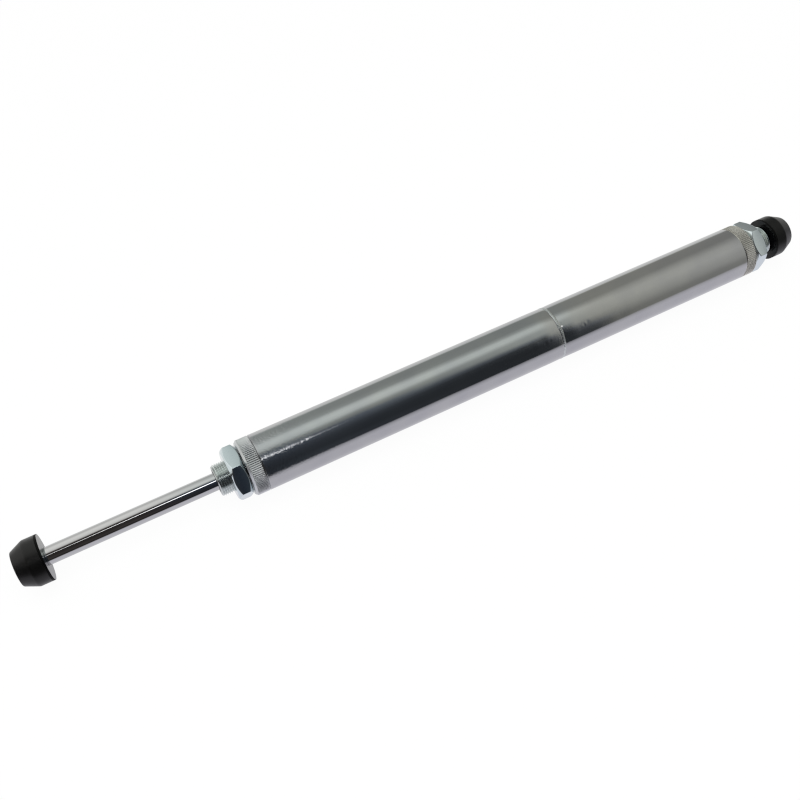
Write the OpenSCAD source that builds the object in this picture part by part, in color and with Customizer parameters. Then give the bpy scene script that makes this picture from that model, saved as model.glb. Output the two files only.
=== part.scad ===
// Double-ended hydraulic end-of-travel damper.
// One rod runs right through the damper: while one rubber buffer is pushed in, the other
// comes out. The rod lies along X and the right end points to +X. The origin is on the
// rod's axis, in the middle of the left nose's free thread, where a bracket holds it.

/* [Tubes] */
// Outer diameter of the oil cylinder, the extension tube and both collars
tube_d = 26.5; // [25:0.5:32]
// Wall of the oil cylinder
cylinder_wall = 1.5; // [1.2:0.1:1.8]
// Wall of the extension tube, thicker so that its end stops the bulkhead
extension_wall = 2.5; // [2.2:0.1:3]
// Length of the oil cylinder, from the left collar to the weld
cylinder_len = 152.8; // [140:0.2:200]
// Length of the extension tube, from the weld to the right collar
extension_len = 108.5; // [60:0.5:160]
// Bevel on the open edges of the tubes
tube_bevel = 0.3; // [0.1:0.1:0.5]

/* [Weld] */
// Width of the weld bead at the surface
weld_width = 2.4; // [1.6:0.2:4]
// Depth of the V that the bead fills
weld_depth = 1; // [0.6:0.1:1.1]
// How far the middle of the bead sinks below the tube's surface
weld_dip = 0.15; // [0.05:0.05:0.3]

/* [End caps] */
// Length of the knurled collar
collar_len = 6.8; // [5:0.2:12]
// Chamfer round the front of the collar
collar_chamfer = 1.2; // [0.5:0.1:1.6]
// Plain land between the knurl and the tube
collar_land = 0.5; // [0.4:0.1:1]
// Number of teeth in the straight knurl
knurl_teeth = 90; // [60:2:120]
// Depth of the knurl
knurl_depth = 0.3; // [0.15:0.05:0.4]
// Length of the spigot that screws into the tube
spigot_len = 14; // [12:0.5:20]
// Distance of the O-ring groove from the spigot's inner end
o_ring_inset = 3; // [2:0.5:4]

/* [Threaded noses and lock nuts] */
// Outer diameter of the nose thread
nose_d = 15; // [13.5:0.5:16]
// Pitch of the nose thread
nose_pitch = 1; // [0.75:0.25:1.25]
// Length of the nose that sticks out of the lock nut
free_thread_len = 6; // [4:0.5:20]
// Chamfer on the end of the nose
nose_chamfer = 0.8; // [0.4:0.1:1]
// Width of the lock nuts across their flats
nut_flats = 23; // [21:0.5:24]
// Thickness of the lock nuts
nut_h = 7; // [5:0.5:12]
// Angle at which the corners of the lock nuts are turned off
nut_chamfer_angle = 35; // [25:1:40]
// Gap between a lock nut and its collar
nut_gap = 0.4; // [0.2:0.1:1]
// Turn of the left lock nut about its thread
left_nut_turn = 20; // [0:1:59]
// Turn of the right lock nut about its thread
right_nut_turn = 4; // [0:1:59]

/* [Rod] */
// Diameter of the chromed rod
rod_d = 8; // [7:0.5:8.5]
// Travel of the rod from one stop to the other
stroke = 75.5; // [30:0.5:90]
// Gap left between a buffer and its nose at the end of the travel
stop_gap = 1; // [0.2:0.1:1.5]
// Diameter of the threaded stub at each end of the rod
stub_d = 6; // [4:0.5:6.5]
// Length of the threaded stubs
stub_len = 5.5; // [3:0.5:5.5]

/* [Buffers] */
// Diameter of the buffers and their steel plates
buffer_d = 21; // [18:0.5:26]
// Thickness of the steel plate behind each buffer
plate_t = 1; // [0.6:0.1:1.6]
// Diameter of the threaded bush that the rubber is moulded round
insert_d = 11; // [9.5:0.5:13]
// Length of that bush in front of the plate
insert_len = 5; // [4:0.5:6]
// Length of the straight part of the rubber
buffer_straight = 5.4; // [4:0.2:10]
// Length of the tapered part of the rubber
buffer_taper = 6; // [3:0.2:10]
// Diameter of the flat front of the rubber
buffer_front_d = 15.4; // [12:0.2:16]
// Edge bevel of the rubber's front
buffer_edge = 0.5; // [0.2:0.1:1]

/* [Piston] */
// Length of the piston
piston_len = 14; // [13:0.5:22]
// Gap between the piston's body and the cylinder's wall
piston_gap = 0.2; // [0.15:0.05:0.3]
// Width of the piston's seal ring
seal_ring_w = 2.4; // [2:0.2:3]
// Radial depth of the piston's seal ring
seal_ring_t = 2; // [1.5:0.1:2.2]
// Width of the piston's guide band
guide_band_w = 5; // [3:0.5:5.5]
// Radial thickness of the guide band
guide_band_t = 1.2; // [1:0.1:1.5]
// Width of the lands at the piston's ends
piston_land = 1.8; // [1.5:0.1:2]
// Diameter of the oil passages through the piston
passage_d = 1.4; // [1:0.1:1.5]
// Number of oil passages
passages = 6; // [3:1:8]

/* [Guides and seals] */
// Wall of the bronze guide bushes
bush_wall = 1; // [0.8:0.1:1.1]
// Length of the guide bushes in the end caps
bush_len = 14; // [10:0.5:15]
// Length of the guide bush in the bulkhead
bulkhead_bush_len = 9; // [6:0.5:10]
// Length of the bulkhead
bulkhead_len = 18; // [17.5:0.5:24]
// Radial depth of the rod seals
rod_seal_t = 3; // [2.5:0.1:3.2]
// Length of the rod seals
rod_seal_len = 5; // [4:0.5:5.5]
// Radial depth of the wipers
wiper_t = 1.5; // [1.2:0.1:1.5]
// Length of the wipers
wiper_len = 2.4; // [1.6:0.1:2.6]
// Section of the O-rings as squeezed in their grooves
o_ring_t = 1.6; // [1.2:0.1:1.8]
// Thickness of the spring clips
clip_t = 1; // [0.8:0.1:1.2]
// Depth that a clip sits in its groove
clip_bite = 0.5; // [0.3:0.1:0.6]
// Radial width of the clips
clip_w = 1.5; // [1.2:0.1:1.7]

/* [Clearances] */
// Radial play of a piece that slides or turns
running_play = 0.04; // [0.02:0.01:0.08]
// Radial play of a piece that sits still in its seat
seat_play = 0.02; // [0.01:0.01:0.04]
// Radial play round the rod where nothing guides it
rod_clearance = 0.3; // [0.2:0.05:0.4]

/* [Hidden] */
$fn = 96;

// radii that several pieces share
tube_r = tube_d / 2;
cylinder_bore_r = tube_r - cylinder_wall;
extension_bore_r = tube_r - extension_wall;
rod_r = rod_d / 2;
rod_hole_r = rod_r + rod_clearance;
nose_r = nose_d / 2;
mesh_r = nose_r - 0.325 * nose_pitch; // pitch radius, where nose and nut threads mesh
bush_r = rod_r + running_play + bush_wall;
rod_seal_r = rod_r + running_play + rod_seal_t;
wiper_r = rod_r + running_play + wiper_t;
knurl_r = tube_r - 0.05;

// places along the axis
thread_wall = free_thread_len - nose_chamfer;
nose_len = nut_gap + nut_h + free_thread_len;
left_shoulder_x = nut_gap + nut_h + thread_wall / 2;
cylinder_x = left_shoulder_x + collar_len;
weld_x = cylinder_x + cylinder_len;
extension_end_x = weld_x + extension_len;
right_shoulder_x = extension_end_x + collar_len;
left_nose_end_x = left_shoulder_x - nose_len;
right_nose_end_x = right_shoulder_x + nose_len;
left_plate_x = left_nose_end_x - stop_gap - stroke;
right_plate_x = right_nose_end_x + stop_gap;
buffer_len = plate_t + buffer_straight + buffer_taper;

// inside an end cap, measured inwards from the front of its collar
wiper_seat_end = -nose_len + wiper_len;
bush_seat_start = wiper_seat_end + 1.5; // a land 1.5 wide parts the wiper from the bush
bush_seat_end = bush_seat_start + bush_len;
seal_end = bush_seat_end + rod_seal_len;
cap_end = collar_len + spigot_len;

// inside the bulkhead, measured towards the weld from its oil side
seal_clip_land = 1;
bulkhead_seal_start = seal_clip_land + clip_t;
bulkhead_seal_end = bulkhead_seal_start + rod_seal_len;
bulkhead_x = weld_x - bulkhead_len;
bulkhead_clip_x = bulkhead_x - clip_t;

// the piston stops as far from the left cap as from the bulkhead's clip
chamber_x = left_shoulder_x + cap_end;
chamber_len = bulkhead_clip_x - chamber_x;
piston_x = chamber_x + (chamber_len - stroke - piston_len) / 2;
piston_r = cylinder_bore_r - piston_gap;
ring_r = cylinder_bore_r - running_play;
passage_ring_r = (rod_r + ring_r - seal_ring_t) / 2;

// ---- shapes that repeat ----

// a turned piece: points are [radius, distance along X]
module turned(points) {
    rotate([0, 90, 0])
        rotate_extrude(convexity = 6)
            polygon(points);
}

// a plain ring from x to x + len
module ring(x, len, inner_r, outer_r) {
    turned([[inner_r, x], [outer_r, x], [outer_r, x + len], [inner_r, x + len]]);
}

// a disc from x to x + len, to be cut away
module disc(x, len, r) {
    translate([x, 0, 0])
        rotate([0, 90, 0])
            cylinder(r = r, h = len);
}

// puts a piece of the left end in its place, measured inwards from the collar's front
module at_left() {
    translate([left_shoulder_x, 0, 0])
        children();
}

// the same for the right end, turned to face the other way
module at_right() {
    translate([right_shoulder_x, 0, 0])
        mirror([1, 0, 0])
            children();
}

// an O-ring whose outer edge seals on a bore
module o_ring(x, bore_r) {
    translate([x, 0, 0])
        rotate([0, 90, 0])
            rotate_extrude()
                translate([bore_r - seat_play - o_ring_t / 2, 0])
                    circle(d = o_ring_t - 2 * seat_play);
}

// the groove that an O-ring lies in, round a plug that fills the bore
module o_ring_groove(x, bore_r) {
    groove_w = 1.3 * o_ring_t;
    ring(x - groove_w / 2, groove_w, bore_r - o_ring_t - seat_play, bore_r + 1);
}

// a spring clip with an open gap
module clip(x, inner_r, outer_r, gap) {
    difference() {
        ring(x, clip_t - 2 * seat_play, inner_r, outer_r);
        translate([x - 1, -gap / 2, inner_r - 1])
            cube([clip_t + 2, gap, outer_r]);
    }
}

// a clip that springs outwards into a groove in a bore
module bore_clip(x, bore_r) {
    clip(x + seat_play, bore_r + clip_bite - clip_w, bore_r + clip_bite - seat_play, 4);
}

// the groove for such a clip
module bore_clip_groove(x, bore_r) {
    disc(x, clip_t, bore_r + clip_bite);
}

// a lip seal: a ring with a V round its oil side
module rod_seal(x, oil_x) {
    lip = (rod_seal_r - rod_r) / 2 + rod_r;
    v_w = rod_seal_t * 0.25;
    v_depth = rod_seal_len * 0.35;
    inner_r = rod_r + running_play;
    outer_r = rod_seal_r - seat_play;
    far_x = oil_x > x ? x : x + rod_seal_len;
    near_x = oil_x > x ? x + rod_seal_len : x;
    v_x = oil_x > x ? near_x - v_depth : near_x + v_depth;
    turned([[inner_r, far_x], [outer_r, far_x], [outer_r, near_x],
            [lip + v_w, near_x], [lip, v_x], [lip - v_w, near_x], [inner_r, near_x]]);
}

// ---- end caps ----

// the straight knurl: a toothed disc
module knurl(x, len) {
    step = 360 / knurl_teeth;
    teeth = [for (i = [0 : knurl_teeth - 1], half = [0, 1])
        let (r = half == 0 ? knurl_r : knurl_r - knurl_depth, a = (i + half / 2) * step)
        [r * cos(a), r * sin(a)]];
    translate([x, 0, 0])
        rotate([0, 90, 0])
            linear_extrude(len)
                polygon(teeth);
}

// collar, nose and spigot in one turned piece, bored for the rod's guide and seals
module end_cap(bore_r) {
    core_r = knurl_r - knurl_depth - 0.2;
    spigot_r = bore_r - seat_play;
    knurl_end = collar_len - collar_land;
    difference() {
        union() {
            turned([
                [0, -nose_len], [nose_r - nose_chamfer, -nose_len],
                [nose_r, -nose_len + nose_chamfer],
                [nose_r, -nut_gap - nut_h], [mesh_r, -nut_gap - nut_h], [mesh_r, 0],
                [tube_r - collar_chamfer, 0], [tube_r, collar_chamfer],
                [core_r, collar_chamfer], [core_r, knurl_end],
                [tube_r, knurl_end], [tube_r - tube_bevel, collar_len],
                [spigot_r, collar_len],
                [spigot_r, cap_end - tube_bevel], [spigot_r - tube_bevel, cap_end],
                [0, cap_end]
            ]);
            knurl(collar_chamfer, knurl_end - collar_chamfer);
        }
        disc(-nose_len - 1, nose_len + cap_end + 2, rod_hole_r);
        disc(-nose_len - 1, wiper_len + 1, wiper_r);
        disc(bush_seat_start, bush_len, bush_r);
        disc(bush_seat_end, cap_end - bush_seat_end + 1, rod_seal_r);
        bore_clip_groove(seal_end, rod_seal_r);
        o_ring_groove(cap_end - o_ring_inset, bore_r);
    }
}

module cap_bush() {
    color("#b98a4a")
        ring(bush_seat_start, bush_len, rod_r + running_play, bush_r - seat_play);
}

module cap_wiper() {
    lip_r = rod_r + running_play;
    color("#222222")
        turned([
            [lip_r, -nose_len + wiper_len * 0.2],
            [lip_r + wiper_t * 0.35, -nose_len],
            [wiper_r - seat_play, -nose_len],
            [wiper_r - seat_play, wiper_seat_end],
            [lip_r, wiper_seat_end]
        ]);
}

// thin hexagon nut, chamfered on both faces and in both mouths of its thread
module lock_nut(turn) {
    corner_r = nut_flats / 2 / cos(30);
    face_r = nut_flats / 2 * 0.95;
    reach = corner_r + 0.3;
    rise = (reach - face_r) * tan(nut_chamfer_angle);
    thread_r = mesh_r + seat_play;
    mouth = 0.5;
    inner_x = -nut_gap;
    outer_x = inner_x - nut_h;
    difference() {
        intersection() {
            translate([outer_x, 0, 0])
                rotate([0, 90, 0])
                    rotate([0, 0, turn])
                        cylinder(r = corner_r, h = nut_h, $fn = 6);
            turned([[0, outer_x], [face_r, outer_x], [reach, outer_x + rise],
                    [reach, inner_x - rise], [face_r, inner_x], [0, inner_x]]);
        }
        disc(outer_x - 1, nut_h + 2, thread_r);
        turned([[0, outer_x - mouth], [thread_r + 2 * mouth, outer_x - mouth],
                [thread_r, outer_x + mouth], [0, outer_x + mouth]]);
        turned([[0, inner_x - mouth], [thread_r, inner_x - mouth],
                [thread_r + 2 * mouth, inner_x + mouth], [0, inner_x + mouth]]);
    }
}

module left_end_cap() {
    color("#b3b2a8")
        at_left()
            end_cap(cylinder_bore_r);
}

module right_end_cap() {
    color("#a9a798")
        at_right()
            end_cap(extension_bore_r);
}

module left_lock_nut() {
    color("#b7c5c3")
        at_left()
            lock_nut(left_nut_turn);
}

module right_lock_nut() {
    color("#b7c5c3")
        at_right()
            lock_nut(right_nut_turn);
}

module left_guide_bush() {
    at_left()
        cap_bush();
}

module right_guide_bush() {
    at_right()
        cap_bush();
}

module left_wiper() {
    at_left()
        cap_wiper();
}

module right_wiper() {
    at_right()
        cap_wiper();
}

module left_rod_seal() {
    color("#1d1d1d")
        at_left()
            rod_seal(bush_seat_end, cap_end);
}

module left_seal_clip() {
    color("#5c6066")
        at_left()
            bore_clip(seal_end, rod_seal_r);
}

module left_cap_o_ring() {
    color("#1d1d1d")
        at_left()
            o_ring(cap_end - o_ring_inset, cylinder_bore_r);
}

module right_cap_o_ring() {
    color("#1d1d1d")
        at_right()
            o_ring(cap_end - o_ring_inset, extension_bore_r);
}

// ---- tubes ----

// oil cylinder, with the groove for the bulkhead's clip and half of the weld's V
module cylinder_tube() {
    color("#a9aea8")
        difference() {
            turned([
                [cylinder_bore_r, cylinder_x], [tube_r - tube_bevel, cylinder_x],
                [tube_r, cylinder_x + tube_bevel], [tube_r, weld_x - weld_width / 2],
                [tube_r - weld_depth, weld_x], [cylinder_bore_r, weld_x]
            ]);
            bore_clip_groove(bulkhead_clip_x, cylinder_bore_r);
        }
}

// extension tube round the dry half of the rod, with the other half of the V
module extension_tube() {
    color("#a3a6a1")
        turned([
            [extension_bore_r, weld_x], [tube_r - weld_depth, weld_x],
            [tube_r, weld_x + weld_width / 2], [tube_r, extension_end_x - tube_bevel],
            [tube_r - tube_bevel, extension_end_x], [extension_bore_r, extension_end_x]
        ]);
}

// weld metal in the V, slightly hollow in the middle
module weld_bead() {
    color("#8d9092")
        turned([
            [tube_r - weld_depth, weld_x], [tube_r, weld_x - weld_width / 2],
            [tube_r - weld_dip, weld_x - weld_width / 6],
            [tube_r - weld_dip, weld_x + weld_width / 6],
            [tube_r, weld_x + weld_width / 2]
        ]);
}

// ---- bulkhead ----

// plug that closes the oil cylinder, stopped by the end of the extension tube
module bulkhead() {
    plug_r = cylinder_bore_r - seat_play;
    color("#9aa0a3")
        translate([bulkhead_x, 0, 0])
            difference() {
                ring(0, bulkhead_len, rod_hole_r, plug_r);
                disc(-1, bulkhead_seal_end + 1, rod_seal_r);
                bore_clip_groove(seal_clip_land, rod_seal_r);
                disc(bulkhead_len - bulkhead_bush_len, bulkhead_bush_len + 1, bush_r);
                o_ring_groove(bulkhead_len / 2, cylinder_bore_r);
            }
}

module bulkhead_bush() {
    color("#b98a4a")
        ring(weld_x - bulkhead_bush_len, bulkhead_bush_len,
             rod_r + running_play, bush_r - seat_play);
}

module bulkhead_rod_seal() {
    color("#1d1d1d")
        translate([bulkhead_x, 0, 0])
            rod_seal(bulkhead_seal_start, 0);
}

module bulkhead_seal_clip() {
    color("#5c6066")
        translate([bulkhead_x, 0, 0])
            bore_clip(seal_clip_land, rod_seal_r);
}

module bulkhead_o_ring() {
    color("#1d1d1d")
        o_ring(bulkhead_x + bulkhead_len / 2, cylinder_bore_r);
}

module bulkhead_clip() {
    color("#5c6066")
        bore_clip(bulkhead_clip_x, cylinder_bore_r);
}

// ---- rod and piston ----

// ground and chromed rod with clip grooves and a threaded stub at each end
module piston_rod() {
    end_bevel = 0.3;
    stub_r = stub_d / 2;
    left_clip_x = piston_x - clip_t;
    right_clip_x = piston_x + piston_len;
    groove_r = rod_r - clip_bite;
    color("#c9cac8")
        turned([
            [0, left_plate_x - stub_len], [stub_r - end_bevel, left_plate_x - stub_len],
            [stub_r, left_plate_x - stub_len + end_bevel], [stub_r, left_plate_x],
            [rod_r, left_plate_x], [rod_r, left_clip_x], [groove_r, left_clip_x],
            [groove_r, piston_x], [rod_r, piston_x], [rod_r, right_clip_x],
            [groove_r, right_clip_x], [groove_r, right_clip_x + clip_t],
            [rod_r, right_clip_x + clip_t], [rod_r, right_plate_x],
            [stub_r, right_plate_x], [stub_r, right_plate_x + stub_len - end_bevel],
            [stub_r - end_bevel, right_plate_x + stub_len], [0, right_plate_x + stub_len]
        ]);
}

// piston with a groove for the seal ring, one for the guide band, and oil passages
module piston() {
    band_x = piston_x + piston_len - piston_land - guide_band_w;
    seal_x = piston_x + piston_land;
    color("#b9bcbf")
        difference() {
            ring(piston_x, piston_len, rod_r + seat_play, piston_r);
            piston_groove(seal_x, seal_ring_w, seal_ring_t);
            piston_groove(band_x, guide_band_w, guide_band_t);
            for (i = [0 : passages - 1])
                rotate([i * 360 / passages, 0, 0])
                    translate([piston_x - 1, 0, passage_ring_r])
                        rotate([0, 90, 0])
                            cylinder(d = passage_d, h = piston_len + 2);
        }
}

// groove for a ring of that width and depth, with running play all round the ring
module piston_groove(x, w, t) {
    ring(x - running_play, w + 2 * running_play, ring_r - t - running_play, piston_r + 1);
}

module piston_seal_ring() {
    color("#2f4a3a")
        ring(piston_x + piston_land, seal_ring_w, ring_r - seal_ring_t, ring_r);
}

// guide band, split by a slanted gap so that it can be sprung over the piston
module piston_guide_band() {
    band_x = piston_x + piston_len - piston_land - guide_band_w;
    gap = 0.8;
    color("#d8d2bf")
        difference() {
            ring(band_x, guide_band_w, ring_r - guide_band_t, ring_r);
            translate([band_x + guide_band_w / 2, 0, ring_r])
                rotate([0, 0, 30])
                    cube([4 * guide_band_w, gap, 4 * guide_band_t], center = true);
        }
}

// clip that grips a groove of the rod beside the piston
module rod_clip(x) {
    groove_r = rod_r - clip_bite;
    color("#5c6066")
        clip(x + seat_play, groove_r + seat_play, groove_r + clip_w, rod_d * 0.6);
}

module left_piston_clip() {
    rod_clip(piston_x - clip_t);
}

module right_piston_clip() {
    rod_clip(piston_x + piston_len);
}

// ---- buffers ----

// steel plate and threaded bush, measured outwards from the plate's back
module buffer_plate() {
    plate_r = buffer_d / 2;
    edge = 0.15;
    hole_r = stub_d / 2 + seat_play;
    color("#2b2b2d")
        turned([
            [hole_r, 0], [plate_r - edge, 0], [plate_r, edge], [plate_r, plate_t],
            [insert_d / 2, plate_t], [insert_d / 2, plate_t + insert_len],
            [hole_r, plate_t + insert_len]
        ]);
}

// rubber moulded on the plate and over its bush
module buffer_rubber() {
    straight_end = plate_t + buffer_straight;
    front_r = buffer_front_d / 2;
    color("#1a1a1a")
        turned([
            [0, plate_t + insert_len], [insert_d / 2, plate_t + insert_len],
            [insert_d / 2, plate_t], [buffer_d / 2, plate_t],
            [buffer_d / 2, straight_end], [front_r, buffer_len - buffer_edge],
            [front_r - buffer_edge, buffer_len], [0, buffer_len]
        ]);
}

// puts a buffer piece on the left end of the rod
module on_left_end() {
    translate([left_plate_x, 0, 0])
        mirror([1, 0, 0])
            children();
}

// and on the right end
module on_right_end() {
    translate([right_plate_x, 0, 0])
        children();
}

module left_buffer_plate() {
    on_left_end()
        buffer_plate();
}

module right_buffer_plate() {
    on_right_end()
        buffer_plate();
}

module left_buffer() {
    on_left_end()
        buffer_rubber();
}

module right_buffer() {
    on_right_end()
        buffer_rubber();
}

cylinder_tube();
extension_tube();
weld_bead();
left_end_cap();
right_end_cap();
left_lock_nut();
right_lock_nut();
left_guide_bush();
right_guide_bush();
left_wiper();
right_wiper();
left_rod_seal();
left_seal_clip();
left_cap_o_ring();
right_cap_o_ring();
bulkhead();
bulkhead_bush();
bulkhead_rod_seal();
bulkhead_seal_clip();
bulkhead_o_ring();
bulkhead_clip();
piston_seal_ring();
piston_guide_band();
piston_rod();
piston();
left_piston_clip();
right_piston_clip();
left_buffer_plate();
right_buffer_plate();
left_buffer();
right_buffer();
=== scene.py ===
# %% [markdown]
# # A double-ended hydraulic damper
# This lesson dresses a finished CAD model of a slim hydraulic damper: a chromed rod that
# runs right through a zinc-plated tube, with a rubber buffer screwed on each end. The CAD
# model already moves and fits. Here it gets the surfaces that a camera sees: turned
# edges, a knurl, real threads, a weld, and metals that mirror the room.

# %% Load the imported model
import math
import bmesh
import bpy
from mathutils import Matrix, Vector, noise


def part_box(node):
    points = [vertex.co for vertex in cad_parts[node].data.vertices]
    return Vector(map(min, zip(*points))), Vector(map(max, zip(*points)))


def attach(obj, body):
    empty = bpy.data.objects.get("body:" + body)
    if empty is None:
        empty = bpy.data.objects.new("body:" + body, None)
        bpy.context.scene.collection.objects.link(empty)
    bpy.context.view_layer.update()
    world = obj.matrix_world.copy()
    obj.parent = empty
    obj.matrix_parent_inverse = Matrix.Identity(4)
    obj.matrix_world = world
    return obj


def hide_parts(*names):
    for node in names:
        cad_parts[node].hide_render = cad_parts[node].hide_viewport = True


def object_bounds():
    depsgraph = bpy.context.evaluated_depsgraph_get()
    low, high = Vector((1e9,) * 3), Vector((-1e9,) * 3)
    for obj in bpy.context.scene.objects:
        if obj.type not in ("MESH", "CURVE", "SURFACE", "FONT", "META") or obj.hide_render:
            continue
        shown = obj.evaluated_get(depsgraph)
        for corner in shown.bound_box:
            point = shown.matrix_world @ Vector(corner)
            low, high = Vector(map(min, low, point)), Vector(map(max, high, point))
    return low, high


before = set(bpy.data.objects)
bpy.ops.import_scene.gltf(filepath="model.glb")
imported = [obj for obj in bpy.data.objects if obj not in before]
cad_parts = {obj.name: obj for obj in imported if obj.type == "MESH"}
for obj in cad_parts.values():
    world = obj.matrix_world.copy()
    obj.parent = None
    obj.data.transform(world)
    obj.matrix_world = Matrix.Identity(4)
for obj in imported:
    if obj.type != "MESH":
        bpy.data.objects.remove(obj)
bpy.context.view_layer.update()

# %% [markdown]
# ## Places
# The frame is in metres, but a damper is drawn in millimetres. Every place below is read
# from the box of a CAD piece, so that the looks follow the model if it changes. The rod's
# axis is the X axis, and `span` gives where a piece starts and ends along it.

# %% Read the places along the axis
MM = 0.001


def span(node, axis=0):
    low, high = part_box(node)
    return low[axis] / MM, high[axis] / MM


TUBE_R = span("cylinder_tube", 2)[1]
ROD_R = span("piston_rod", 2)[1]
BUFFER_R = span("left_buffer", 2)[1]
CYLINDER_X, _ = span("cylinder_tube")
_, EXTENSION_END_X = span("extension_tube")
WELD_START_X, WELD_END_X = span("weld_bead")
WELD_X = (WELD_START_X + WELD_END_X) / 2
print(f"tube radius {TUBE_R:.1f} mm, rod radius {ROD_R:.1f} mm, weld at {WELD_X:.1f} mm")

# %% [markdown]
# ## Camera
# A long, slim object is easiest to read when it runs corner to corner. The camera looks
# down steeply and from the left, close enough that the far end shrinks a little. It is
# placed by the point that it looks at, a direction and a distance, which are easier to
# think about than raw coordinates.

# %% Set the camera
AIM = Vector((0.0877, 0, 0))
AZIMUTH, ELEVATION, DISTANCE = math.radians(-27.744), math.radians(57.309), 0.4486
LENS_MM, SENSOR_MM = 43.65, 36


def add_camera():
    back = Vector((math.sin(AZIMUTH) * math.cos(ELEVATION),
                   -math.cos(AZIMUTH) * math.cos(ELEVATION),
                   math.sin(ELEVATION)))
    data = bpy.data.cameras.new("camera")
    data.lens = LENS_MM
    data.sensor_width = SENSOR_MM
    data.clip_start = 0.01
    camera = bpy.data.objects.new("camera", data)
    camera.location = AIM + back * DISTANCE
    camera.rotation_euler = back.to_track_quat("Z", "Y").to_euler()
    bpy.context.scene.collection.objects.link(camera)
    bpy.context.scene.camera = camera
    return camera


camera = add_camera()
print("camera at", [round(v, 3) for v in camera.location])

# %% [markdown]
# ## Shaping on a lathe
# Nearly every piece of a damper comes off a lathe. The Blender way is the same: draw half
# of the outline beside the axis, round its corners, and spin it. `turned` takes corners as
# (distance along the axis, radius) with an optional third number, the corner's rounding.
# A closed outline makes a ring, and an open one that ends on the axis makes a solid.

# %% A lathe
TURN_STEPS = 192
ROUND_SEGMENTS = 3


def turned(corners, ring=True, steps=TURN_STEPS):
    bm = bmesh.new()
    verts = [bm.verts.new((c[0], c[1], 0)) for c in corners]
    ends = verts[1:] + verts[:1] if ring else verts[1:]
    for start, end in zip(verts, ends):
        bm.edges.new((start, end))
    sizes = [c[2] if len(c) > 2 else 0 for c in corners]
    for size in sorted(set(sizes) - {0}):
        bmesh.ops.bevel(bm, geom=[v for v, s in zip(verts, sizes) if s == size], offset=size,
                        offset_type="OFFSET", segments=ROUND_SEGMENTS, profile=0.5,
                        affect="VERTICES", material=-1)
    bmesh.ops.spin(bm, geom=bm.verts[:] + bm.edges[:], cent=(0, 0, 0), axis=(1, 0, 0),
                   angle=math.tau, steps=steps, use_merge=True)
    bmesh.ops.remove_doubles(bm, verts=bm.verts[:], dist=1e-4)
    return bm


# %% [markdown]
# ## Shapes that aren't round
# A knurl, a hexagon and a weld aren't round, but they can still be drawn as a ring that is
# pulled from station to station along the axis. At each station the ring's place and its
# radius may be plain numbers or functions of the angle round the axis, measured from +Y
# towards +Z. Extruding a ring of edges is the editor's E key, done in a loop.

# %% A ring pulled from station to station
def lofted(stations, segments):
    bm = bmesh.new()
    bmesh.ops.create_circle(bm, segments=segments, radius=1)
    for v in bm.verts:
        v.co = (0, v.co.x, v.co.y)
    ring = bm.verts[:]
    edges = bm.edges[:]
    for number, (x, radius) in enumerate(stations + stations[:1]):
        if number:
            made = bmesh.ops.extrude_edge_only(bm, edges=edges)["geom"]
            ring = [g for g in made if isinstance(g, bmesh.types.BMVert)]
            inside = set(ring)
            edges = [g for g in made if isinstance(g, bmesh.types.BMEdge)
                     and inside.issuperset(g.verts)]
        for v in ring:
            angle = math.atan2(v.co.z, v.co.y)
            r = radius(angle) if callable(radius) else radius
            v.co = (x(angle) if callable(x) else x, r * math.cos(angle), r * math.sin(angle))
    bmesh.ops.remove_doubles(bm, verts=bm.verts[:], dist=1e-4)
    return bm


# %% [markdown]
# ## Finishing a piece
# A sharp edge in the real world is never quite sharp: it catches a thin line of light.
# `soften` bevels the edges that bend by more than an angle in degrees. `finish_piece` then
# turns the faces outwards, changes millimetres to metres, shades the mesh smooth between its
# sharp edges, hangs the piece on the body that it moves with, and hides the CAD piece that it
# stands for.

# %% Bevel, join and finish
SHARP_ANGLE = math.radians(32)
SOFT_SEGMENTS = 2


def soften(bm, offset, bend):
    bm.normal_update()
    edges = [e for e in bm.edges if e.is_manifold and e.calc_face_angle() > math.radians(bend)]
    bmesh.ops.bevel(bm, geom=edges, offset=offset, offset_type="OFFSET", segments=SOFT_SEGMENTS,
                    profile=0.5, affect="EDGES", material=-1, clamp_overlap=True)


def joined(*shells):
    whole = bmesh.new()
    for shell in shells:
        part = bpy.data.meshes.new("shell")
        shell.to_mesh(part)
        whole.from_mesh(part)
        bpy.data.meshes.remove(part)
        shell.free()
    return whole


def with_material(bm, index):
    for face in bm.faces:
        face.material_index = index
    return bm


def finish_piece(bm, name, body, stands_for, materials):
    bmesh.ops.recalc_face_normals(bm, faces=bm.faces[:])
    bmesh.ops.scale(bm, vec=(MM, MM, MM), verts=bm.verts[:])
    mesh = bpy.data.meshes.new(name)
    bm.to_mesh(mesh)
    bm.free()
    mesh.shade_smooth()
    mesh.set_sharp_from_angle(angle=SHARP_ANGLE)
    for material in materials if isinstance(materials, list) else [materials]:
        mesh.materials.append(material)
    piece = bpy.data.objects.new(name, mesh)
    bpy.context.scene.collection.objects.link(piece)
    weighted = piece.modifiers.new("flat faces stay flat", "WEIGHTED_NORMAL")
    weighted.keep_sharp = True
    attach(piece, body)
    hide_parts(stands_for)
    print(f"{name}: {len(mesh.polygons)} faces")


# %% [markdown]
# ## Building materials
# Colours are written as the hex values of a colour picker, which are sRGB, while shaders
# work with linear light, so one function converts them. `add_node` adds a node and sets its
# properties. Each input is given a plain value, a socket to link, or a whole node, whose
# first open output is linked, which keeps each material short. The scale of a noise is its
# number of grains in a metre, so it is `METRE` in millimetres over the grain's size.

# %% Colour and node helpers
METRE = 1000
UM = 1e-6


def linear(hex_code):
    parts = [int(hex_code[i:i + 2], 16) / 255 for i in (1, 3, 5)]
    return tuple(c / 12.92 if c <= 0.04045 else ((c + 0.055) / 1.055) ** 2.4
                 for c in parts) + (1,)


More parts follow.
